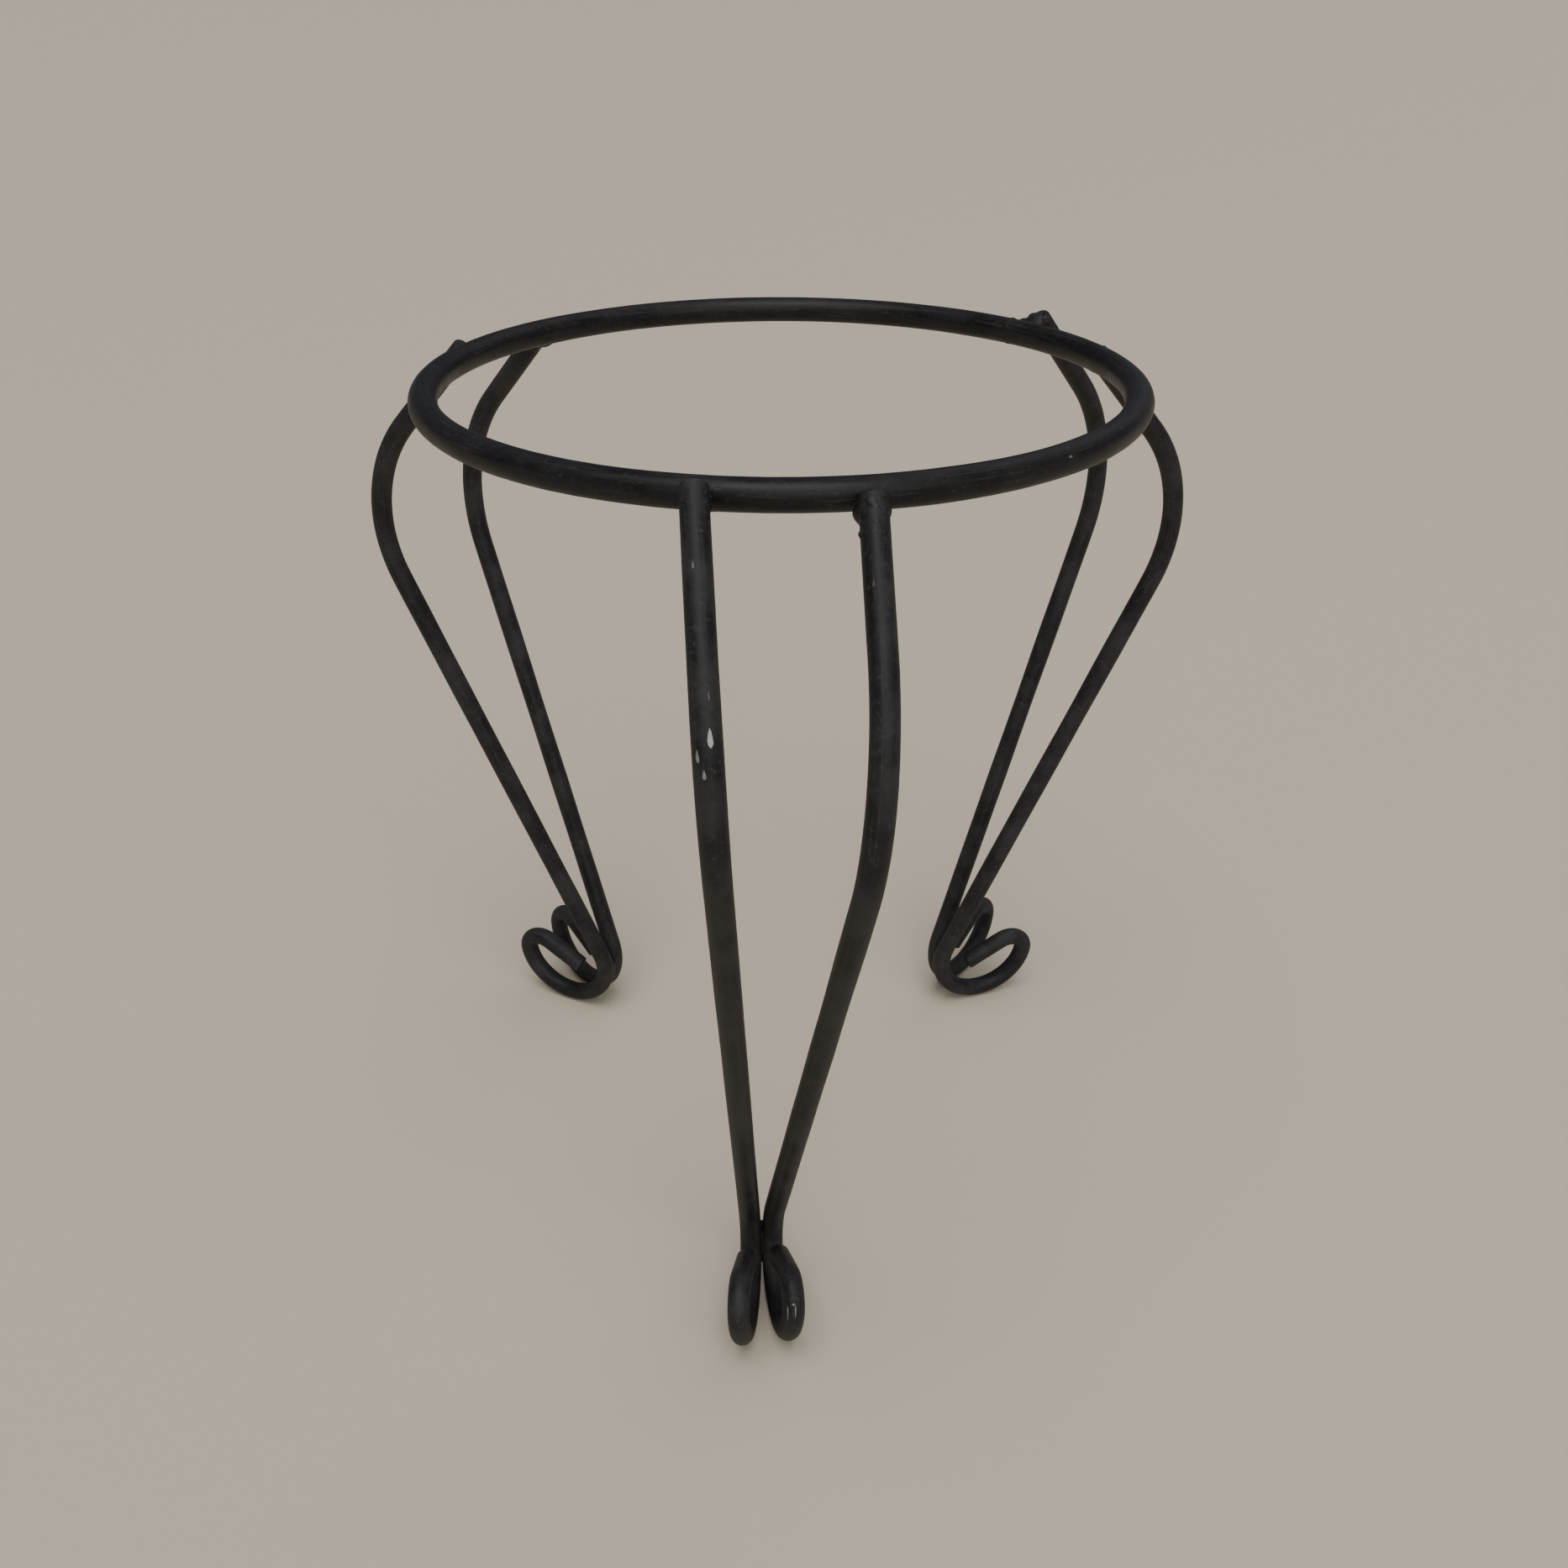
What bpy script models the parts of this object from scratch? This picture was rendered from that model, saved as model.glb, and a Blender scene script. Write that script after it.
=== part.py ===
"""Welded wire stand for a round plant pot, in metres, +Z up, standing on the floor at z = 0.

A round rod hoop carries the pot. Six legs bent from a thinner rod stand in three pairs. The top of each leg
lies against the outside of the hoop, the leg bows outward below it, and the two legs of a pair meet at the
ankle, where each one curls into a scroll foot. Weld beads hold the rods together.
"""

import math

import bmesh
import bpy
import numpy as np
from mathutils import Matrix, Vector

# Overall sizes
SEAT_HEIGHT = 0.3289  # floor to the crown of the hoop
HOOP_RADIUS = 0.120  # centre line
HOOP_ROD_RADIUS = 0.0048
LEG_ROD_RADIUS = 0.0041
WELD_GAP = 0.0003  # between a rod or bead and what it is welded to

# One leg in its own plane, from the hoop down: straight top, shoulder bend, straight slant, scroll
TOP_HEADING = math.radians(44.5)  # outward, below the horizontal
TOP_LENGTH = 0.0445
SHOULDER_RADIUS = 0.0645
SLANT = math.radians(19.5)  # inward, from the vertical
HEEL_RADIUS, HEEL_TURN = 0.023, math.radians(77)
SOLE_RADIUS, SOLE_TURN = 0.022, math.radians(120)
TOE_RADIUS, TOE_TURN = 0.0087, math.radians(123)
TAIL_LENGTH = 0.020

# Weld beads
HOOP_JOINT_ANGLE = math.radians(40.5)  # where the hoop's own ends meet
HOOP_JOINT_LENGTH = 0.003
HOOP_JOINT_BULGE = 1.08
BEAD_WIDTH = 0.0022  # how far a bead shows past the leg on each side
BEAD_RISE = 0.0005  # and above and below it
BEAD_DEPTH = 0.0032
ANKLE_BEAD_LENGTH = 0.014
ANKLE_BEAD_DEPTH, ANKLE_BEAD_WIDTH = 0.6, 0.7  # half of each, as a share of the leg's radius
ANKLE_BEAD_INSET = 0.0032  # from the line where the two legs touch, toward the middle of the stand

# Fineness
HOOP_SEGMENTS = 96
BEND_STEP = math.radians(9)
SIDES_RESOLUTION = 3  # ten flat sides round each rod, one of them on the hoop's crown
BEAD_SEGMENTS = 18

# The stand is bent and welded by hand, so the pairs and the legs of a pair differ a little. Each pair has the
# angle of its ankle round the hoop. Each leg has its side of the pair, the angle where it meets the hoop, how
# far its bow turns away from its neighbour, how far its scroll does, and how high its end sits on the hoop,
# from 0, square on to it, to 1, side by side with it. The angles are in degrees.
PAIRS = {
    "front": (-94.8, {"front_left_leg": (-1, -101, -7, 0, 0.95), "front_right_leg": (1, -79.7, 12, 14, 0.72)}),
    "right": (39.1, {"right_outer_leg": (-1, 20.8, 21, 21, 0.4), "right_rear_leg": (1, 37, 0, 9.5, 0.97)}),
    "left": (143.9, {"left_outer_leg": (1, 157.5, 18, 10, 0.62), "left_rear_leg": (-1, 138, 2, 9, 0.45)}),
}

HOOP_CENTRE_HEIGHT = SEAT_HEIGHT - HOOP_ROD_RADIUS * math.cos(math.pi / (4 + 2 * SIDES_RESOLUTION))
HOOP_CLEAR = HOOP_ROD_RADIUS + WELD_GAP
ANKLE_CONTACT = 2 * LEG_ROD_RADIUS + WELD_GAP


def leg_profile(slant_length):
    """Points (outward, up) of a leg's centre line, and the index of its innermost point, the ankle."""
    stretches = [
        (None, TOP_LENGTH),
        (SHOULDER_RADIUS, -(math.pi / 2 + SLANT - TOP_HEADING)),
        (None, slant_length),
        (HEEL_RADIUS, HEEL_TURN),
        (SOLE_RADIUS, SOLE_TURN),
        (TOE_RADIUS, TOE_TURN),
        (None, TAIL_LENGTH),
    ]
    point = np.zeros(2)
    heading = -TOP_HEADING
    points = [point]
    for radius, amount in stretches:
        steps = 1 if radius is None else math.ceil(abs(amount) / BEND_STEP)
        turn = 0 if radius is None else amount / steps
        chord = amount if radius is None else 2 * radius * math.sin(abs(turn) / 2)
        for _ in range(steps):
            middle = heading + turn / 2
            point = point + chord * np.array([math.cos(middle), math.sin(middle)])
            heading += turn
            points.append(point)
    points = np.array(points)
    after_shoulder = 2 + math.ceil((math.pi / 2 + SLANT - TOP_HEADING) / BEND_STEP)
    heel_steps = math.ceil(HEEL_TURN / BEND_STEP)
    ankle = after_shoulder + int(np.argmin(points[after_shoulder : after_shoulder + heel_steps, 0]))
    return points - points[ankle], ankle


def resampled(path, step=0.0005):
    """The same path with a point every step."""
    along = np.append(0, np.cumsum(np.linalg.norm(np.diff(path, axis=0), axis=1)))
    places = np.arange(0, along[-1], step)
    return np.stack([np.interp(places, along, path[:, i]) for i in range(3)], axis=1)


def to_hoop(points):
    """Distance of each point from the hoop's centre line."""
    return np.hypot(np.hypot(points[:, 0], points[:, 1]) - HOOP_RADIUS, points[:, 2] - HOOP_CENTRE_HEIGHT)


def top_skin(path):
    """Points on the skin of a leg's first two centimetres."""
    heading = (path[1] - path[0]) / np.linalg.norm(path[1] - path[0])
    _, one, other = right_angled(heading, np.array([0, 0, 1.0]))
    turns = np.linspace(0, 2 * math.pi, 37)[:-1, None]
    rim = path[0] + LEG_ROD_RADIUS * (np.cos(turns) * one + np.sin(turns) * other)
    return np.concatenate([rim + heading * along for along in np.linspace(0, 0.02, 21)])


def right_angled(normal, along):
    """Three directions at right angles: the normal, the nearest to along, and across."""
    normal = normal / np.linalg.norm(normal)
    along = along - normal * np.dot(along, normal)
    along = along / np.linalg.norm(along)
    return normal, along, np.cross(normal, along)


def leg_path(ankle_angle, leg, offset):
    """Centre line of one leg, its ankle this far to its side of the pair's middle plane. The slant's length
    brings the scroll down to the floor, and the lean brings the top to its own angle on the hoop."""
    side, (top_angle, bow, toe_out), seat = leg[0], np.radians(leg[1:4]), leg[4]
    across = side * (top_angle - ankle_angle)
    lift = seat * (HOOP_CLEAR + LEG_ROD_RADIUS)
    back = math.sqrt(max(HOOP_CLEAR**2 - max(lift - LEG_ROD_RADIUS, 0) ** 2, 0))
    top_height = HOOP_CENTRE_HEIGHT + lift * math.cos(TOP_HEADING) - back * math.sin(TOP_HEADING)
    reach = HOOP_RADIUS + lift * math.sin(TOP_HEADING) + back * math.cos(TOP_HEADING)
    lean, slant_length = 0.0, SEAT_HEIGHT / 2
    for _ in range(12):
        profile, ankle = leg_profile(slant_length)
        out, up = profile.T
        turned = np.where(np.arange(len(out)) > ankle, toe_out, bow)
        aside, rise = out[0] * math.sin(bow), up[0]
        wanted = reach * math.sin(across) - offset
        lean = math.atan2(rise, aside) - math.acos(wanted / math.hypot(rise, aside))
        height = up * math.cos(lean) - out * np.sin(turned) * math.sin(lean)
        height += top_height - height[0]
        slant_length += (height.min() - LEG_ROD_RADIUS) / (math.cos(SLANT) * math.cos(lean))
        radial = reach * math.cos(across) + (out * np.cos(turned) - out[0] * math.cos(bow))
        sideways = side * (offset + out * np.sin(turned) * math.cos(lean) + up * math.sin(lean))
        x = radial * math.cos(ankle_angle) - sideways * math.sin(ankle_angle)
        y = radial * math.sin(ankle_angle) + sideways * math.cos(ankle_angle)
        path = np.stack([x, y, height], axis=1)
        reach += HOOP_CLEAR - to_hoop(top_skin(path)).min()
    return path


def pair_paths(ankle_degrees, legs):
    """Centre lines of a pair's legs, moved apart until they just touch."""
    offset = LEG_ROD_RADIUS
    for _ in range(6):
        paths = {name: leg_path(math.radians(ankle_degrees), leg, offset) for name, leg in legs.items()}
        first, second = (resampled(path) for path in paths.values())
        apart = np.linalg.norm(first[:, None] - second[None], axis=2)
        offset += (ANKLE_CONTACT - apart.min()) / 2
    nearest = np.unravel_index(apart.argmin(), apart.shape)
    return paths, (first[nearest[0]] + second[nearest[1]]) / 2


def hoop_path(start, end, segments):
    angles = np.linspace(start, end, segments + 1)
    x, y = HOOP_RADIUS * np.cos(angles), HOOP_RADIUS * np.sin(angles)
    return np.stack([x, y, np.full_like(x, HOOP_CENTRE_HEIGHT)], axis=1)


def painted(name, colour, roughness):
    material = bpy.data.materials.new(name)
    material.use_nodes = True
    shader = material.node_tree.nodes["Principled BSDF"]
    shader.inputs["Base Color"].default_value = (*colour, 1)
    shader.inputs["Roughness"].default_value = roughness
    shader.inputs["Metallic"].default_value = 0
    return material


def rod(name, path, radius, collection, widths=None):
    """A rod along the path, as a curve. Widths scale its thickness at each point."""
    curve = bpy.data.curves.new(name, "CURVE")
    curve.dimensions = "3D"
    curve.twist_mode = "MINIMUM"
    curve.bevel_depth = radius
    curve.bevel_resolution = SIDES_RESOLUTION
    curve.use_fill_caps = True
    spline = curve.splines.new("POLY")
    spline.points.add(len(path) - 1)
    for index, (spot, place) in enumerate(zip(spline.points, path)):
        spot.co = (*place, 1)
        spot.radius = widths[index] if widths else 1
    spline.use_smooth = True
    thing = bpy.data.objects.new(name, curve)
    collection.objects.link(thing)
    thing.parent = hoop_axis
    return thing


def meshed(thing):
    """The curve's mesh with its caps welded on, in place of the curve."""
    bpy.context.view_layer.update()
    graph = bpy.context.evaluated_depsgraph_get()
    mesh = bpy.data.meshes.new_from_object(thing.evaluated_get(graph))
    welded = bmesh.new()
    welded.from_mesh(mesh)
    bmesh.ops.remove_doubles(welded, verts=welded.verts, dist=0.00001)
    bmesh.ops.recalc_face_normals(welded, faces=welded.faces)
    welded.to_mesh(mesh)
    welded.free()
    name = thing.name
    solid = bpy.data.objects.new(name + "_solid", mesh)
    for collection in thing.users_collection:
        collection.objects.link(solid)
    solid.parent = thing.parent
    solid.matrix_world = thing.matrix_world
    bpy.data.objects.remove(thing)
    solid.name = name
    return solid


def hidden(thing):
    thing.hide_render = True
    thing.display_type = "WIRE"
    return thing


def bead(name, centre, axes, half_sizes, cutters, material):
    """An egg of weld metal, its half sizes along three directions at right angles, less the rods it joins."""
    mesh = bpy.data.meshes.new(name)
    shape = bmesh.new()
    bmesh.ops.create_uvsphere(shape, u_segments=BEAD_SEGMENTS, v_segments=BEAD_SEGMENTS // 2 + 1, radius=1)
    stretched = Matrix([Vector(axis) * size for axis, size in zip(axes, half_sizes)]).transposed()
    bmesh.ops.transform(shape, matrix=stretched.to_4x4(), verts=shape.verts)
    bmesh.ops.recalc_face_normals(shape, faces=shape.faces)
    shape.to_mesh(mesh)
    shape.free()
    mesh.shade_smooth()
    mesh.set_sharp_from_angle(angle=math.radians(40))
    thing = bpy.data.objects.new(name, mesh)
    thing.parent = hoop_axis
    thing.location = centre
    parts.objects.link(thing)
    thing.data.materials.append(material)
    for cutter in cutters:
        cut = thing.modifiers.new("cut by " + cutter.name, "BOOLEAN")
        cut.operation = "DIFFERENCE"
        cut.solver = "EXACT"
        cut.object = cutter
    return thing


def add_hoop():
    half_joint = (HOOP_JOINT_LENGTH / 2 + WELD_GAP) / HOOP_RADIUS
    start, end = HOOP_JOINT_ANGLE + half_joint, HOOP_JOINT_ANGLE + 2 * math.pi - half_joint
    hoop = rod("hoop", hoop_path(start, end, HOOP_SEGMENTS), HOOP_ROD_RADIUS, parts)
    hoop.data.materials.append(painted("hoop_paint", (0.018, 0.018, 0.018), 0.5))
    inner = HOOP_JOINT_LENGTH / 2 / HOOP_RADIUS
    joint = hoop_path(HOOP_JOINT_ANGLE - inner, HOOP_JOINT_ANGLE + inner, 4)
    bulge = [1, (1 + HOOP_JOINT_BULGE) / 2, HOOP_JOINT_BULGE, (1 + HOOP_JOINT_BULGE) / 2, 1]
    weld = rod("hoop_joint_weld", joint, HOOP_ROD_RADIUS, parts, bulge)
    weld.data.materials.append(painted("hoop_joint_weld_paint", (0.016, 0.016, 0.016), 0.6))


def add_leg(name, path):
    leg = rod(name, path, LEG_ROD_RADIUS, parts)
    leg.data.materials.append(painted(name + "_paint", (0.02, 0.02, 0.02), 0.5))
    heading = (path[1] - path[0]) / np.linalg.norm(path[1] - path[0])
    longer = np.concatenate([[path[0] - heading * WELD_GAP], path[1:]])
    return hidden(meshed(rod(name + "_clearance", longer, LEG_ROD_RADIUS + WELD_GAP, cutters)))


def add_hoop_weld(name, path, seat, leg_cutter, hoop_cutter):
    """The bead round a leg's end, where it meets the hoop."""
    angle = math.atan2(path[0][1], path[0][0])
    on_hoop = np.array([HOOP_RADIUS * math.cos(angle), HOOP_RADIUS * math.sin(angle), HOOP_CENTRE_HEIGHT])
    hoop_tangent = np.array([-math.sin(angle), math.cos(angle), 0])
    axes = right_angled(path[0] - on_hoop, hoop_tangent)
    half_sizes = (BEAD_DEPTH, LEG_ROD_RADIUS + BEAD_WIDTH, LEG_ROD_RADIUS + BEAD_RISE)
    heading = (path[1] - path[0]) / np.linalg.norm(path[1] - path[0])
    centre = on_hoop + axes[0] * HOOP_ROD_RADIUS + heading * LEG_ROD_RADIUS * seat
    bead(name, centre, axes, half_sizes, (leg_cutter, hoop_cutter), painted(name + "_paint", (0.016,) * 3, 0.6))


def add_ankle_weld(name, touch, ankle_degrees, leg_cutters):
    """The bead in the groove between a pair's legs, on the side that faces the middle of the stand."""
    inward = -np.array([math.cos(math.radians(ankle_degrees)), math.sin(math.radians(ankle_degrees)), 0])
    axes = right_angled(inward, np.array([0, 0, 1.0]))
    depth, width = ANKLE_BEAD_DEPTH * LEG_ROD_RADIUS, ANKLE_BEAD_WIDTH * LEG_ROD_RADIUS
    half_sizes = (depth, ANKLE_BEAD_LENGTH / 2, width)
    centre = touch + inward * ANKLE_BEAD_INSET
    bead(name, centre, axes, half_sizes, leg_cutters, painted(name + "_paint", (0.016,) * 3, 0.6))


def middle_of(paths):
    """Middle of the ground that the stand covers, in the hoop's own frame."""
    everything = np.concatenate([path[:, :2] for path in paths])
    hoop_reach = HOOP_RADIUS + HOOP_ROD_RADIUS
    low = np.minimum(everything.min(axis=0) - LEG_ROD_RADIUS, -hoop_reach)
    high = np.maximum(everything.max(axis=0) + LEG_ROD_RADIUS, hoop_reach)
    return (low + high) / 2


for old in list(bpy.data.objects):
    bpy.data.objects.remove(old)

parts = bpy.data.collections.new("plant_pot_stand")
cutters = bpy.data.collections.new("cutters")
for group in (parts, cutters):
    bpy.context.scene.collection.children.link(group)

solved = {pair: pair_paths(*settings) for pair, settings in PAIRS.items()}
hoop_axis = bpy.data.objects.new("hoop_axis", None)
parts.objects.link(hoop_axis)
hoop_axis.location = (*-middle_of([path for paths, _ in solved.values() for path in paths.values()]), 0)

add_hoop()
whole_hoop = hoop_path(0, 2 * math.pi, HOOP_SEGMENTS)
hoop_clearance = rod("hoop_clearance", whole_hoop[:-1], HOOP_ROD_RADIUS + WELD_GAP, cutters)
hoop_clearance.data.splines[0].use_cyclic_u = True
hoop_clearance = hidden(meshed(hoop_clearance))

for pair, (ankle_degrees, legs) in PAIRS.items():
    paths, touch = solved[pair]
    leg_cutters = [add_leg(name, path) for name, path in paths.items()]
    for (name, path), leg_cutter in zip(paths.items(), leg_cutters):
        weld_name, seat = name.replace("_leg", "_hoop_weld"), legs[name][-1]
        add_hoop_weld(weld_name, path, seat, leg_cutter, hoop_clearance)
    add_ankle_weld(pair + "_ankle_weld", touch, ankle_degrees, leg_cutters)
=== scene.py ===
import math

import bmesh
import bpy
import numpy as np
from mathutils import Matrix, Vector, noise


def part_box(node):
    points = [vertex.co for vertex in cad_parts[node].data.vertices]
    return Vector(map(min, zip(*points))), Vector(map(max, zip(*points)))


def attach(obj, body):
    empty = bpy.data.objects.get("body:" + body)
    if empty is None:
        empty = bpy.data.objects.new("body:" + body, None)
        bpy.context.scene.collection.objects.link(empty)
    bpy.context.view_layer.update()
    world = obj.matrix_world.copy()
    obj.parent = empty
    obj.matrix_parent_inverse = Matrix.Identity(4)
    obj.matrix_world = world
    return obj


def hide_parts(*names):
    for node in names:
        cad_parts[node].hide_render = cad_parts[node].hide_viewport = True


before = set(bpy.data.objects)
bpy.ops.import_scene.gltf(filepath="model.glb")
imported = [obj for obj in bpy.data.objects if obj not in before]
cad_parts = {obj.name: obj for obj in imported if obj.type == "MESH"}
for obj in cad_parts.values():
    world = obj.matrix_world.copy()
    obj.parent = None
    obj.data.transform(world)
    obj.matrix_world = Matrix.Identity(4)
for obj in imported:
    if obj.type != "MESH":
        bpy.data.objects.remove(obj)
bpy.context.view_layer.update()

hoopLow, hoopHigh = (np.array(corner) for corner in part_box("hoop"))

hoop = {
    "radius": 0.120,  # to the rod's centre line
    "rod": 0.0048,
    "jointAngle": 40.5,  # degrees round the hoop, where its own ends meet
    "sides": 40,
    "ringGap": 0.0014,
    "endGap": 0.0004,  # from the middle of the joint to each of its ends
    "roundEnd": 0.0004,
}
straightUp = np.array([0, 0, 1.0])
hoop["height"] = (hoopLow[2] + hoopHigh[2]) / 2
hoop["centre"] = np.array([*(hoopLow + hoopHigh)[:2] / 2, 0])

leg = {
    "rod": 0.0041,
    "topHeading": 44.5,  # outward, below the horizontal
    "top": 0.0445,
    "shoulder": 0.0645,
    "slant": 19.5,  # inward, from the vertical
    "heel": (0.023, 77),  # radius and turn
    "sole": (0.022, 120),
    "toe": (0.0087, 123),
    "tail": 0.020,
    "gap": 0.0003,  # left between pieces that are welded together
    "bendStep": 3,
    "sides": 36,
    "ringGap": 0.0011,
    "roundEnd": 0.0007,
}

pairs = {"front": -94.8, "right": 39.1, "left": 143.9}  # angle of each pair's ankle round the hoop

# side of the pair, angle on the hoop, bow, how far the scroll turns out, how high the end sits on the hoop
legs = {
    "front_left": {"pair": "front", "side": -1, "top": -101, "bow": -7, "toeOut": 0, "seat": 0.95},
    "front_right": {"pair": "front", "side": 1, "top": -79.7, "bow": 12, "toeOut": 14, "seat": 0.72},
    "right_outer": {"pair": "right", "side": -1, "top": 20.8, "bow": 21, "toeOut": 21, "seat": 0.4},
    "right_rear": {"pair": "right", "side": 1, "top": 37, "bow": 0, "toeOut": 9.5, "seat": 0.97},
    "left_outer": {"pair": "left", "side": 1, "top": 157.5, "bow": 18, "toeOut": 10, "seat": 0.62},
    "left_rear": {"pair": "left", "side": -1, "top": 138, "bow": 2, "toeOut": 9, "seat": 0.45},
}


def unit(vector):
    return vector / np.linalg.norm(vector)


def spacedPath(path, gap):
    along = np.append(0, np.cumsum(np.linalg.norm(np.diff(path, axis=0), axis=1)))
    places = np.linspace(0, along[-1], max(2, round(along[-1] / gap)) + 1)
    return np.stack([np.interp(places, along, path[:, axis]) for axis in range(3)], axis=1)


def legProfile(slantLength):
    # outward and up, from the hoop down: straight top, shoulder, straight slant, scroll
    slant, heading = math.radians(leg["slant"]), -math.radians(leg["topHeading"])
    stretches = [(None, leg["top"]), (leg["shoulder"], -(math.pi / 2 + slant + heading)), (None, slantLength)]
    stretches += [(radius, math.radians(turn)) for radius, turn in (leg["heel"], leg["sole"], leg["toe"])]
    stretches += [(None, leg["tail"])]
    point, points, heelStart = np.zeros(2), [np.zeros(2)], 0
    for number, (radius, amount) in enumerate(stretches):
        steps = 1 if radius is None else math.ceil(abs(amount) / math.radians(leg["bendStep"]))
        turn = 0 if radius is None else amount / steps
        chord = amount if radius is None else 2 * radius * math.sin(abs(turn) / 2)
        if number == 3:
            heelStart = len(points) - 1
        for _ in range(steps):
            point = point + chord * np.array([math.cos(heading + turn / 2), math.sin(heading + turn / 2)])
            heading += turn
            points.append(point)
    points = np.array(points)
    heelSteps = math.ceil(leg["heel"][1] / leg["bendStep"])
    ankle = heelStart + int(np.argmin(points[heelStart:heelStart + heelSteps, 0]))
    return points - points[ankle], ankle


def toHoop(points):
    return np.hypot(np.hypot(points[:, 0], points[:, 1]) - hoop["radius"], points[:, 2] - hoop["height"])


def endSkin(path):
    # points on the skin of the leg's first two centimetres
    heading = unit(path[1] - path[0])
    one = unit(straightUp - heading * heading[2])
    other = np.cross(heading, one)
    turns = np.linspace(0, 2 * math.pi, 37)[:-1, None]
    rim = path[0] + leg["rod"] * (np.cos(turns) * one + np.sin(turns) * other)
    return np.concatenate([rim + heading * along for along in np.linspace(0, 0.02, 21)])


def legPath(pairAngle, one, offset):
    side, seat = one["side"], one["seat"]
    top, bow, toeOut = (math.radians(one[key]) for key in ("top", "bow", "toeOut"))
    heading = math.radians(leg["topHeading"])
    across = side * (top - pairAngle)
    clear = hoop["rod"] + leg["gap"]
    lift = seat * (clear + leg["rod"])
    back = math.sqrt(max(clear**2 - max(lift - leg["rod"], 0) ** 2, 0))
    topHeight = hoop["height"] + lift * math.cos(heading) - back * math.sin(heading)
    reach = hoop["radius"] + lift * math.sin(heading) + back * math.cos(heading)
    lean, slantLength = 0.0, 0.17
    for _ in range(12):
        profile, ankle = legProfile(slantLength)
        out, up = profile.T
        turned = np.where(np.arange(len(out)) > ankle, toeOut, bow)
        aside, rise = out[0] * math.sin(bow), up[0]
        wanted = reach * math.sin(across) - offset
        lean = math.atan2(rise, aside) - math.acos(wanted / math.hypot(rise, aside))
        height = up * math.cos(lean) - out * np.sin(turned) * math.sin(lean)
        height += topHeight - height[0]
        slantLength += (height.min() - leg["rod"]) / (math.cos(math.radians(leg["slant"])) * math.cos(lean))
        radial = reach * math.cos(across) + (out * np.cos(turned) - out[0] * math.cos(bow))
        sideways = side * (offset + out * np.sin(turned) * math.cos(lean) + up * math.sin(lean))
        x = radial * math.cos(pairAngle) - sideways * math.sin(pairAngle)
        y = radial * math.sin(pairAngle) + sideways * math.cos(pairAngle)
        path = np.stack([x, y, height], axis=1)
        reach += clear - toHoop(endSkin(path)).min()
    return path


def pairPaths(pair):
    # the two legs are moved apart until they just touch at the ankle
    members = {name: one for name, one in legs.items() if one["pair"] == pair}
    offset = leg["rod"]
    for _ in range(6):
        paths = {name: legPath(math.radians(pairs[pair]), one, offset) for name, one in members.items()}
        first, second = (spacedPath(path, 0.0006) for path in paths.values())
        apart = np.linalg.norm(first[:, None] - second[None], axis=2)
        offset += (2 * leg["rod"] + leg["gap"] - apart.min()) / 2
    nearest = np.unravel_index(apart.argmin(), apart.shape)
    ankle = (first[nearest[0]] + second[nearest[1]]) / 2 + hoop["centre"]
    return {name: path + hoop["centre"] for name, path in paths.items()}, ankle


def hoopPath(start, end, gap):
    steps = max(2, round(math.radians(end - start) * hoop["radius"] / gap))
    angles = np.radians(np.linspace(start, end, steps + 1))
    ring = np.stack([np.cos(angles), np.sin(angles), np.zeros_like(angles)], axis=1) * hoop["radius"]
    return ring + hoop["centre"] + np.array([0, 0, hoop["height"]])


legPaths, ankles = {}, {}
for pair in pairs:
    found, ankles[pair] = pairPaths(pair)
    legPaths.update(found)
print("routes worked out for", len(legPaths), "legs")


endRings = 6  # rings that round off each end of a rod


def sweepRod(mesh, path, radius, sides, gap, roundEnd, firstNormal):
    # a round rod pushed along its route ring by ring; rodSpace is its place on the rod before it was bent
    space = mesh.verts.layers.float_vector.get("rodSpace") or mesh.verts.layers.float_vector.new("rodSpace")
    route = spacedPath(path, gap)
    along = np.append(0, np.cumsum(np.linalg.norm(np.diff(route, axis=0), axis=1)))
    rings = []
    for step in range(endRings):
        bend = math.pi / 2 * step / (endRings - 1)
        rings.append((roundEnd * (1 - math.cos(bend)), 1 - roundEnd / radius * (1 - math.sin(bend))))
    rings += [(place, 1) for place in along if roundEnd * 1.5 < place < along[-1] - roundEnd * 1.5]
    rings += [(along[-1] - place, scale) for place, scale in reversed(rings[:endRings])]
    normal = firstNormal
    made = bmesh.ops.create_circle(mesh, segments=sides, radius=radius, cap_ends=True)
    ring = made["verts"]
    face = ring[0].link_faces[0]
    for vert in ring:
        vert[space] = (vert.co.x, vert.co.y, 0)
    for number, (place, scale) in enumerate(rings):
        centre = np.array([np.interp(place, along, route[:, axis]) for axis in range(3)])
        ahead = np.array([np.interp(place + gap / 2, along, route[:, axis]) for axis in range(3)])
        behind = np.array([np.interp(place - gap / 2, along, route[:, axis]) for axis in range(3)])
        tangent = unit(ahead - behind)
        normal = unit(normal - tangent * np.dot(normal, tangent))
        across = np.cross(tangent, normal)
        if number:
            made = bmesh.ops.extrude_face_region(mesh, geom=[face])
            ring = [item for item in made["geom"] if isinstance(item, bmesh.types.BMVert)]
            face = next(item for item in made["geom"] if isinstance(item, bmesh.types.BMFace))
        for vert in ring:
            x, y = vert[space][0], vert[space][1]
            vert[space] = (x, y, place)
            vert.co = Vector(centre + (normal * x + across * y) * scale)


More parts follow.
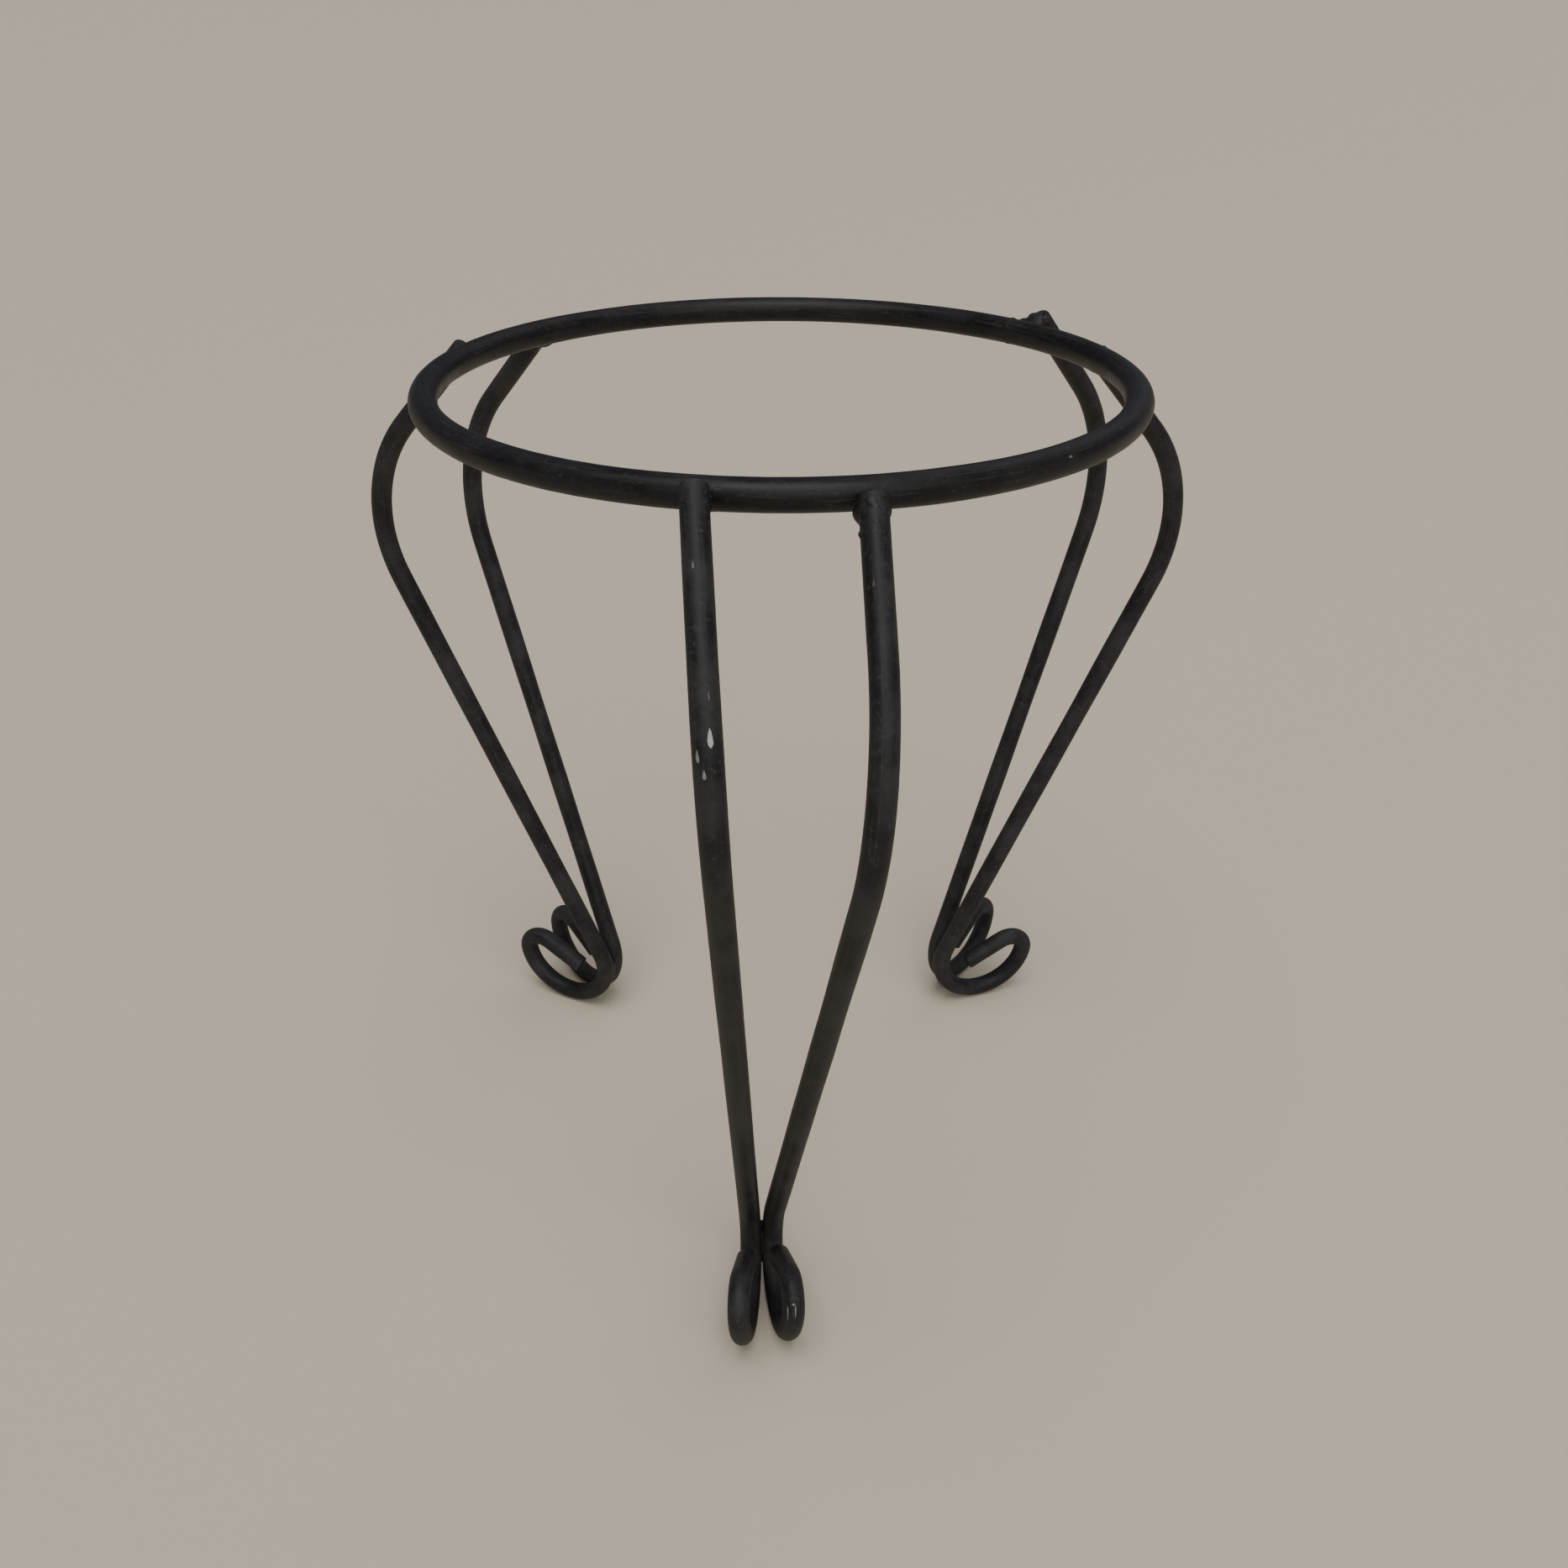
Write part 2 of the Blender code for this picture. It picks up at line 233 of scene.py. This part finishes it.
def roughen(mesh, slow, fine):
    # slow and fine are (wavelength, height): the small dents and the uneven coat of a hand-made rod
    mesh.normal_update()
    moves = []
    for vert in mesh.verts:
        dent = slow[1] * noise.noise(vert.co / slow[0])
        grain = fine[1] * noise.noise(vert.co / fine[0] + Vector((7, 3, 1)))
        moves.append(vert.normal * (dent + grain))
    for vert, move in zip(mesh.verts, moves):
        vert.co += move


def finishedPiece(name, mesh, material, node):
    bmesh.ops.recalc_face_normals(mesh, faces=mesh.faces)
    data = bpy.data.meshes.new(name)
    mesh.to_mesh(data)
    mesh.free()
    data.shade_smooth()
    data.set_sharp_from_angle(angle=math.radians(50))
    data.materials.append(material)
    piece = bpy.data.objects.new(name, data)
    bpy.context.scene.collection.objects.link(piece)
    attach(piece, "root")
    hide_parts(node)
    return piece


def nodeGroup(name, inputs, outputs):
    group = bpy.data.node_groups.new(name, "ShaderNodeTree")
    for direction, sockets in (("INPUT", inputs), ("OUTPUT", outputs)):
        for socketName, kind in sockets:
            group.interface.new_socket(name=socketName, in_out=direction, socket_type="NodeSocket" + kind)
    return group, group.nodes.new("NodeGroupInput"), group.nodes.new("NodeGroupOutput")


def noiseNode(tree, vector, scale, detail, roughness=0.5):
    made = tree.nodes.new("ShaderNodeTexNoise")
    made.inputs["Scale"].default_value = scale
    made.inputs["Detail"].default_value = detail
    made.inputs["Roughness"].default_value = roughness
    tree.links.new(vector, made.inputs["Vector"])
    return made.outputs["Fac"]


def mathNode(tree, operation, first, second, clamp=False):
    made = tree.nodes.new("ShaderNodeMath")
    made.operation = operation
    made.use_clamp = clamp
    for socket, value in zip(made.inputs, (first, second)):
        if isinstance(value, (int, float)):
            socket.default_value = value
        else:
            tree.links.new(value, socket)
    return made.outputs[0]


def stretchedSpace(tree, vector, scale):
    made = tree.nodes.new("ShaderNodeMapping")
    made.inputs["Scale"].default_value = scale
    tree.links.new(vector, made.inputs["Vector"])
    return made.outputs["Vector"]


def spread(tree, value, low, high, outLow=0.0, outHigh=1.0):
    made = tree.nodes.new("ShaderNodeMapRange")
    made.interpolation_type = "SMOOTHSTEP"
    tree.links.new(value, made.inputs["Value"])
    for key, number in (("From Min", low), ("From Max", high), ("To Min", outLow), ("To Max", outHigh)):
        made.inputs[key].default_value = number
    return made.outputs["Result"]


def mixColour(tree, factor, first, second):
    made = tree.nodes.new("ShaderNodeMix")
    made.data_type = "RGBA"
    tree.links.new(factor, made.inputs["Factor"])
    for key, value in ((6, first), (7, second)):
        if isinstance(value, tuple):
            made.inputs[key].default_value = value
        else:
            tree.links.new(value, made.inputs[key])
    return made.outputs[2]


coatLook = {
    "dustColour": (0.060, 0.057, 0.053, 1),
    "chipColour": (0.52, 0.52, 0.50, 1),
    "raggedRim": 0.7,
    "bump": (0.35, 0.0001),  # strength and height
}


def satinCoatGroup():
    # brushed-on black enamel: cloudy, faintly drawn along the rod, with specks of dust scattered over it
    group, inside, outside = nodeGroup(
        "satinCoat",
        [
            ("Place", "Vector"),
            ("RodSpace", "Vector"),
            ("Dark", "Color"),
            ("Light", "Color"),
            ("Dust", "Float"),
            ("Dullness", "Float"),
        ],
        [("Color", "Color"), ("Roughness", "Float"), ("Height", "Float")],
    )
    place, rodSpace = inside.outputs["Place"], inside.outputs["RodSpace"]
    cloud = noiseNode(group, place, 60, 6, 0.65)
    speck = noiseNode(group, place, 620, 3, 0.6)
    drawn = noiseNode(group, stretchedSpace(group, rodSpace, (1, 1, 0.03)), 1500, 3, 0.55)
    peel = noiseNode(group, place, 2100, 2)
    cloudy = spread(group, cloud, 0.36, 0.66)
    coat = mixColour(group, cloudy, inside.outputs["Dark"], inside.outputs["Light"])
    dusty = mathNode(group, "MULTIPLY", spread(group, speck, 0.55, 0.78), inside.outputs["Dust"])
    lined = mathNode(group, "MULTIPLY", spread(group, drawn, 0.54, 0.72), 0.35)
    pale = mathNode(group, "ADD", dusty, lined, True)
    coloured = mixColour(group, pale, coat, coatLook["dustColour"])
    group.links.new(coloured, outside.inputs["Color"])
    duller = mathNode(group, "MULTIPLY", pale, 0.25)
    uneven = mathNode(group, "ADD", spread(group, cloud, 0.3, 0.7, -0.06, 0.08), duller)
    rough = mathNode(group, "ADD", inside.outputs["Dullness"], uneven, True)
    group.links.new(rough, outside.inputs["Roughness"])
    fine, coarse = mathNode(group, "MULTIPLY", peel, 0.45), mathNode(group, "MULTIPLY", drawn, 0.55)
    group.links.new(mathNode(group, "ADD", fine, coarse), outside.inputs["Height"])
    return group


def chipGroup():
    # one chip or scratch in the coat: a teardrop in rod space, wide end down, with a ragged rim
    group, inside, outside = nodeGroup(
        "paintChip",
        [("RodSpace", "Vector"), ("Centre", "Vector"), ("HalfSize", "Vector"), ("Ragged", "Float")],
        [("Mask", "Float")],
    )
    away = group.nodes.new("ShaderNodeVectorMath")
    away.operation = "SUBTRACT"
    group.links.new(inside.outputs["RodSpace"], away.inputs[0])
    group.links.new(inside.outputs["Centre"], away.inputs[1])
    share = group.nodes.new("ShaderNodeVectorMath")
    share.operation = "DIVIDE"
    group.links.new(away.outputs[0], share.inputs[0])
    group.links.new(inside.outputs["HalfSize"], share.inputs[1])
    split = group.nodes.new("ShaderNodeSeparateXYZ")
    group.links.new(share.outputs[0], split.inputs[0])
    widening = mathNode(group, "ADD", mathNode(group, "MULTIPLY", split.outputs["Z"], 0.42), 0.68)
    teardrop = group.nodes.new("ShaderNodeCombineXYZ")
    for axis in ("X", "Y"):
        group.links.new(mathNode(group, "DIVIDE", split.outputs[axis], widening), teardrop.inputs[axis])
    group.links.new(split.outputs["Z"], teardrop.inputs["Z"])
    length = group.nodes.new("ShaderNodeVectorMath")
    length.operation = "LENGTH"
    group.links.new(teardrop.outputs[0], length.inputs[0])
    edge = noiseNode(group, inside.outputs["RodSpace"], 900, 4, 0.7)
    ragged = mathNode(group, "MULTIPLY", mathNode(group, "SUBTRACT", edge, 0.5), inside.outputs["Ragged"])
    distance = mathNode(group, "ADD", length.outputs["Value"], ragged)
    group.links.new(spread(group, distance, 0.85, 1.0, 1.0, 0.0), outside.inputs["Mask"])
    return group


satinCoat, paintChip = satinCoatGroup(), chipGroup()


def rodPaint(name, look, chips=(), rodRadius=leg["rod"]):
    # chips: place along the rod, turn round it in degrees, half length, half width, strength
    material = bpy.data.materials.new(name)
    material.use_nodes = True
    tree = material.node_tree
    shader = tree.nodes["Principled BSDF"]
    shader.inputs["Specular IOR Level"].default_value = look["shine"]
    coordinates = tree.nodes.new("ShaderNodeTexCoord")
    rodSpace = tree.nodes.new("ShaderNodeAttribute")
    rodSpace.attribute_name = "rodSpace"
    coat = tree.nodes.new("ShaderNodeGroup")
    coat.node_tree = satinCoat
    coat.inputs["Dark"].default_value = (*look["dark"], 1)
    coat.inputs["Light"].default_value = (*look["light"], 1)
    coat.inputs["Dust"].default_value = look["dust"]
    coat.inputs["Dullness"].default_value = look["dullness"]
    tree.links.new(coordinates.outputs["Object"], coat.inputs["Place"])
    tree.links.new(rodSpace.outputs["Vector"], coat.inputs["RodSpace"])
    colour, rough, height = coat.outputs["Color"], coat.outputs["Roughness"], coat.outputs["Height"]
    for along, turn, halfLength, halfWidth, strength in chips:
        chip = tree.nodes.new("ShaderNodeGroup")
        chip.node_tree = paintChip
        angle = math.radians(turn)
        across = (rodRadius * math.cos(angle), rodRadius * math.sin(angle))
        chip.inputs["Centre"].default_value = (*across, along)
        chip.inputs["HalfSize"].default_value = (halfWidth, halfWidth, halfLength)
        chip.inputs["Ragged"].default_value = coatLook["raggedRim"]
        tree.links.new(rodSpace.outputs["Vector"], chip.inputs["RodSpace"])
        bare = mathNode(tree, "MULTIPLY", chip.outputs["Mask"], strength)
        colour = mixColour(tree, bare, colour, coatLook["chipColour"])
        rough = mathNode(tree, "ADD", rough, mathNode(tree, "MULTIPLY", bare, 0.1), True)
        height = mathNode(tree, "SUBTRACT", height, mathNode(tree, "MULTIPLY", bare, 1.5))
    bump = tree.nodes.new("ShaderNodeBump")
    bump.inputs["Strength"].default_value, bump.inputs["Distance"].default_value = coatLook["bump"]
    tree.links.new(height, bump.inputs["Height"])
    tree.links.new(colour, shader.inputs["Base Color"])
    tree.links.new(rough, shader.inputs["Roughness"])
    tree.links.new(bump.outputs["Normal"], shader.inputs["Normal"])
    return material


hoopLook = {
    "dark": (0.0048, 0.0048, 0.0054),
    "light": (0.0130, 0.0130, 0.0142),
    "dust": 0.4,
    "dullness": 0.45,
    "shine": 0.27,
    "chips": [(0.5655, 60, 0.0008, 0.0006, 0.22)],
    "dents": (0.03, 0.00010),
    "coat": (0.004, 0.00003),
}


def makeHoop():
    joint = hoop["jointAngle"]
    paint = rodPaint("hoopEnamel", hoopLook, hoopLook["chips"], hoop["rod"])
    mesh = bmesh.new()
    half = math.degrees(hoop["endGap"] / hoop["radius"])
    path = hoopPath(joint + half, joint + 360 - half, hoop["ringGap"])
    sweepRod(mesh, path, hoop["rod"], hoop["sides"], hoop["ringGap"], hoop["roundEnd"], straightUp)
    roughen(mesh, hoopLook["dents"], hoopLook["coat"])
    return finishedPiece("ringRod", mesh, paint, "hoop")


makeHoop()
print("hoop made")


# the legs' enamel is painted lighter than the hoop's: partly a duller coat, partly painted light standing in
# for the extra light the legs catch from the room and the floor
legLookWithPaintedLight = {
    "dark": (0.0090, 0.0091, 0.0098),
    "light": (0.0300, 0.0298, 0.0304),
    "dust": 0.7,
    "dullness": 0.56,
    "shine": 0.29,
    "dents": (0.035, 0.00016),
    "coat": (0.004, 0.00003),
}

# place along the rod from the hoop, turn round it, half length, half width, strength
legChips = {
    "front_left": [
        (0.0245, -4, 0.0012, 0.0004, 0.25),
        (0.0685, -32, 0.0026, 0.0010, 0.85),
        (0.0728, 20, 0.0017, 0.0008, 0.38),
        (0.0772, -3, 0.0012, 0.0007, 0.40),
        (0.0585, -36, 0.0012, 0.0003, 0.15),
    ],
    "front_right": [
        (0.4040, 140, 0.0022, 0.0003, 0.45),
        (0.4046, 181, 0.0018, 0.0003, 0.42),
        (0.4064, 171, 0.0003, 0.0009, 0.35),
        (0.0260, 37, 0.0011, 0.0004, 0.12),
    ],
    "right_rear": [(0.3980, 150, 0.0012, 0.0007, 0.35)],
}


def makeLeg(name):
    path = legPaths[name]
    heading = unit(path[1] - path[0])
    outward = unit(np.array([path[0][0] - hoop["centre"][0], path[0][1] - hoop["centre"][1], 0]))
    facing = unit(outward - heading * np.dot(outward, heading))
    mesh = bmesh.new()
    sweepRod(mesh, path, leg["rod"], leg["sides"], leg["ringGap"], leg["roundEnd"], facing)
    roughen(mesh, legLookWithPaintedLight["dents"], legLookWithPaintedLight["coat"])
    paint = rodPaint(name + "Enamel", legLookWithPaintedLight, legChips.get(name, ()))
    return finishedPiece(name + "_bentRod", mesh, paint, name + "_leg")


for name in legs:
    makeLeg(name)
print("legs made")


weldLook = {
    "dark": (0.0040, 0.0040, 0.0042),
    "light": (0.0200, 0.0194, 0.0184),
    "dust": 0.8,
    "dullness": 0.48,
    "shine": 0.35,
    "voxel": 0.00035,
    "underSkin": 0.975,  # the rods inside a weld, as a share of the real ones, so that only the fillets show
    "lumpiness": (0.0022, 0.00028),
    "grit": (0.0008, 0.00008),
    "smoothing": 7,
    "stubSides": 24,
    "stubRound": 0.0012,  # ring gap and rounded end of the rods inside
    "hoopStub": 0.011,  # each way along the hoop from a leg
    "legStub": 0.014,
    "ankleStub": 9,  # millimetres each way along the legs
    "jointStub": 0.005,
}
weldPaint = rodPaint("weldEnamel", weldLook)
jointPaint = rodPaint("jointEnamel", hoopLook)


def addLump(mesh, centre, axes, halfSizes):
    made = bmesh.ops.create_icosphere(mesh, subdivisions=3, radius=1)
    stretched = Matrix([Vector(axis) * size for axis, size in zip(axes, halfSizes)]).transposed().to_4x4()
    bmesh.ops.transform(mesh, matrix=Matrix.Translation(Vector(centre)) @ stretched, verts=made["verts"])


def weldMetal(name, stubs, lumps, node, material):
    # rods and lumps fused by a fine remesh, then softened until the corners between them fill in
    rough = bmesh.new()
    for path, radius in stubs:
        tangent = unit(path[1] - path[0])
        aslant = np.array([0.3, 0.2, 1.0])  # never in line with a rod
        start = unit(aslant - tangent * np.dot(aslant, tangent))
        inner, end = radius * weldLook["underSkin"], weldLook["stubRound"]
        sweepRod(rough, path, inner, weldLook["stubSides"], end, end, start)
    for centre, axes, halfSizes in lumps:
        addLump(rough, centre, axes, halfSizes)
    bmesh.ops.recalc_face_normals(rough, faces=rough.faces)
    data = bpy.data.meshes.new(name + "Rough")
    rough.to_mesh(data)
    rough.free()
    holder = bpy.data.objects.new(name + "Rough", data)
    bpy.context.scene.collection.objects.link(holder)
    remesh = holder.modifiers.new("fuse", "REMESH")
    remesh.mode = "VOXEL"
    remesh.voxel_size = weldLook["voxel"]
    bpy.context.view_layer.update()
    fused = bpy.data.meshes.new_from_object(holder.evaluated_get(bpy.context.evaluated_depsgraph_get()))
    bpy.data.objects.remove(holder)
    mesh = bmesh.new()
    mesh.from_mesh(fused)
    for _ in range(weldLook["smoothing"]):
        bmesh.ops.smooth_vert(
            mesh, verts=mesh.verts, factor=0.5, use_axis_x=True, use_axis_y=True, use_axis_z=True
        )
    roughen(mesh, weldLook["lumpiness"], weldLook["grit"])
    space = mesh.verts.layers.float_vector.get("rodSpace") or mesh.verts.layers.float_vector.new("rodSpace")
    for vert in mesh.verts:
        vert[space] = vert.co
    return finishedPiece(name, mesh, material, node)


# lumps of each hoop weld in millimetres: place along the hoop, down the leg and off its face, then half sizes
hoopWelds = {
    "front_left": [((0, 4.0, -4.6), (4.2, 4.2, 1.7))],
    "front_right": [
        ((0, 3.2, -4.0), (5.2, 4.2, 2.2)),
        ((0.2, 0.2, 0.8), (3.4, 1.5, 2.9)),
        ((-0.5, 3.0, 1.6), (3.0, 3.4, 2.8)),
        ((1.5, 6.2, 1.4), (1.9, 3.8, 2.4)),
        ((3.9, 3.4, -1.2), (1.2, 2.6, 1.6)),
        ((-3.3, 3.4, -2.8), (1.6, 3.0, 1.7)),
        ((-4.0, 11.2, 0.8), (0.9, 1.0, 0.8)),
    ],
    "right_outer": [((0, 1.8, -3.8), (5.0, 3.8, 2.2)), ((-2.6, 0.4, -2.8), (2.2, 1.8, 1.6))],
    "right_rear": [
        ((0, 4.0, -4.5), (4.8, 4.2, 1.8)),
        ((0.8, -0.4, -2.2), (4.2, 1.6, 3.6)),
        ((3.2, 0.2, -1.2), (2.6, 1.5, 3.0)),
        ((5.4, 0.4, -3.4), (3.2, 1.6, 1.9)),
        ((6.6, 2.6, -5.4), (2.4, 2.0, 1.6)),
    ],
    "left_outer": [((0, 1.8, -3.8), (5.2, 3.8, 2.2)), ((2.4, -0.6, -2.8), (2.8, 1.5, 1.5))],
    "left_rear": [((0, 1.8, -3.8), (5.2, 3.8, 2.2)), ((-3.4, 2.2, -3.8), (2.2, 2.2, 1.6))],
}


def makeHoopWeld(name):
    path = legPaths[name]
    angle = math.degrees(math.atan2(path[0][1] - hoop["centre"][1], path[0][0] - hoop["centre"][0]))
    heading = unit(path[1] - path[0])
    alongHoop = np.array([-math.sin(math.radians(angle)), math.cos(math.radians(angle)), 0])
    alongHoop = unit(alongHoop - heading * np.dot(alongHoop, heading))
    face = np.cross(alongHoop, heading)
    face = face if face[2] > 0 else -face
    halfSpan = math.degrees(weldLook["hoopStub"] / hoop["radius"])
    stubs = [
        (hoopPath(angle - halfSpan, angle + halfSpan, 0.002), hoop["rod"]),
        (spacedPath(np.array([path[0], path[0] + heading * weldLook["legStub"]]), 0.002), leg["rod"]),
    ]
    lumps = []
    for (aside, down, off), halfSizes in hoopWelds[name]:
        centre = path[0] + (alongHoop * aside + heading * down + face * off) / 1000
        lumps.append((centre, (alongHoop, heading, face), [size / 1000 for size in halfSizes]))
    return weldMetal(name + "_hoopBead", stubs, lumps, name + "_hoop_weld", weldPaint)


def makeAnkleWeld(pair):
    angle = math.radians(pairs[pair])
    inward = -np.array([math.cos(angle), math.sin(angle), 0])
    stubs, reach = [], weldLook["ankleStub"]
    for name in legs:
        if legs[name]["pair"] == pair:
            near = spacedPath(legPaths[name], 0.001)
            close = np.linalg.norm(near - ankles[pair], axis=1).argmin()
            stubs.append((near[close - reach:close + reach + 1], leg["rod"]))
    middle = (stubs[0][0] + stubs[1][0]) / 2
    lumps = []
    for step in (3, 6, 9, 12, 15):
        heading = unit(middle[step + 1] - middle[step - 1])
        off = unit(inward - heading * np.dot(inward, heading))
        axes = (np.cross(heading, off), heading, off)
        lumps.append((middle[step] + off * 0.0024, axes, (0.0018, 0.0022, 0.0014)))
    return weldMetal(pair + "_ankleBead", stubs, lumps, pair + "_ankle_weld", weldPaint)


def makeHoopJointWeld():
    joint = hoop["jointAngle"]
    half = math.degrees(weldLook["jointStub"] / hoop["radius"])
    stubs = [(hoopPath(joint - half, joint + half, 0.001), hoop["rod"])]
    angle = math.radians(joint)
    outward = np.array([math.cos(angle), math.sin(angle), 0])
    tangent = np.array([-outward[1], outward[0], 0])
    middle = hoop["centre"] + outward * hoop["radius"] + np.array([0, 0, hoop["height"]])
    lumps = []
    for turn in range(0, 360, 30):
        off = outward * math.cos(math.radians(turn)) + np.array([0, 0, math.sin(math.radians(turn))])
        axes = (tangent, off, np.cross(tangent, off))
        lumps.append((middle + off * (hoop["rod"] - 0.0012), axes, (0.0016, 0.0015, 0.0018)))
    return weldMetal("ringJointBead", stubs, lumps, "hoop_joint_weld", jointPaint)


for name in legs:
    makeHoopWeld(name)
for pair in pairs:
    makeAnkleWeld(pair)
makeHoopJointWeld()
print("welds made")


studio = {
    "floor": (0.67, 0.582, 0.452),
    "floorRadius": 60,
    "backdrop": (0.57, 0.53, 0.465),
    "roomLight": (0.13, 0.135, 0.15),  # what the paint mirrors beside the lamps
    "lamps": {  # height above the floor in degrees, side it shines from, width in degrees, strength
        "overhead": (75, -105, 40, 1.48),
        "front": (34, -75, 60, 1.15),
        "rear": (50, 50, 50, 0.28),
    },
}
standView = {
    "lens": 31.18,
    "sensor": 36,
    "place": (-0.0050, -0.4716, 0.1179),  # from the hoop's centre
    "pitch": 30.54,  # down
    "turn": -0.745,
    "roll": 0.09,
}


def makeStudio():
    mesh = bmesh.new()
    bmesh.ops.create_circle(mesh, cap_ends=True, segments=96, radius=studio["floorRadius"])
    data = bpy.data.meshes.new("studioFloor")
    mesh.to_mesh(data)
    mesh.free()
    floor = bpy.data.objects.new("studioFloor", data)
    material = bpy.data.materials.new("paleFloor")
    material.use_nodes = True
    material.node_tree.nodes["Principled BSDF"].inputs["Base Color"].default_value = (*studio["floor"], 1)
    material.node_tree.nodes["Principled BSDF"].inputs["Roughness"].default_value = 0.7
    data.materials.append(material)
    bpy.context.scene.collection.objects.link(floor)
    world = bpy.data.worlds.new("studioSky")
    world.use_nodes = True
    tree = world.node_tree
    seen = tree.nodes.new("ShaderNodeLightPath").outputs["Is Camera Ray"]
    sky = mixColour(tree, seen, (*studio["roomLight"], 1), (*studio["backdrop"], 1))
    tree.links.new(sky, tree.nodes["Background"].inputs["Color"])
    bpy.context.scene.world = world
    for name, (height, side, width, strength) in studio["lamps"].items():
        light = bpy.data.lights.new(name, "SUN")
        light.angle = math.radians(width)
        light.energy = strength
        lamp = bpy.data.objects.new(name, light)
        lamp.rotation_euler = (math.radians(90 - height), 0, math.radians(90 + side))
        bpy.context.scene.collection.objects.link(lamp)


def makeCamera():
    lens = bpy.data.cameras.new("viewLens")
    lens.lens = standView["lens"]
    lens.sensor_width = standView["sensor"]
    lens.clip_end = 200
    camera = bpy.data.objects.new("viewLens", lens)
    camera.location = Vector(hoop["centre"]) + Vector((0, 0, hoop["height"])) + Vector(standView["place"])
    turn = Matrix.Rotation(math.radians(standView["turn"]), 4, "Z")
    tilt = Matrix.Rotation(math.radians(90 - standView["pitch"]), 4, "X")
    roll = Matrix.Rotation(math.radians(standView["roll"]), 4, "Z")
    camera.rotation_euler = (turn @ tilt @ roll).to_euler()
    bpy.context.scene.collection.objects.link(camera)
    bpy.context.scene.camera = camera


makeStudio()
makeCamera()
print("studio set")
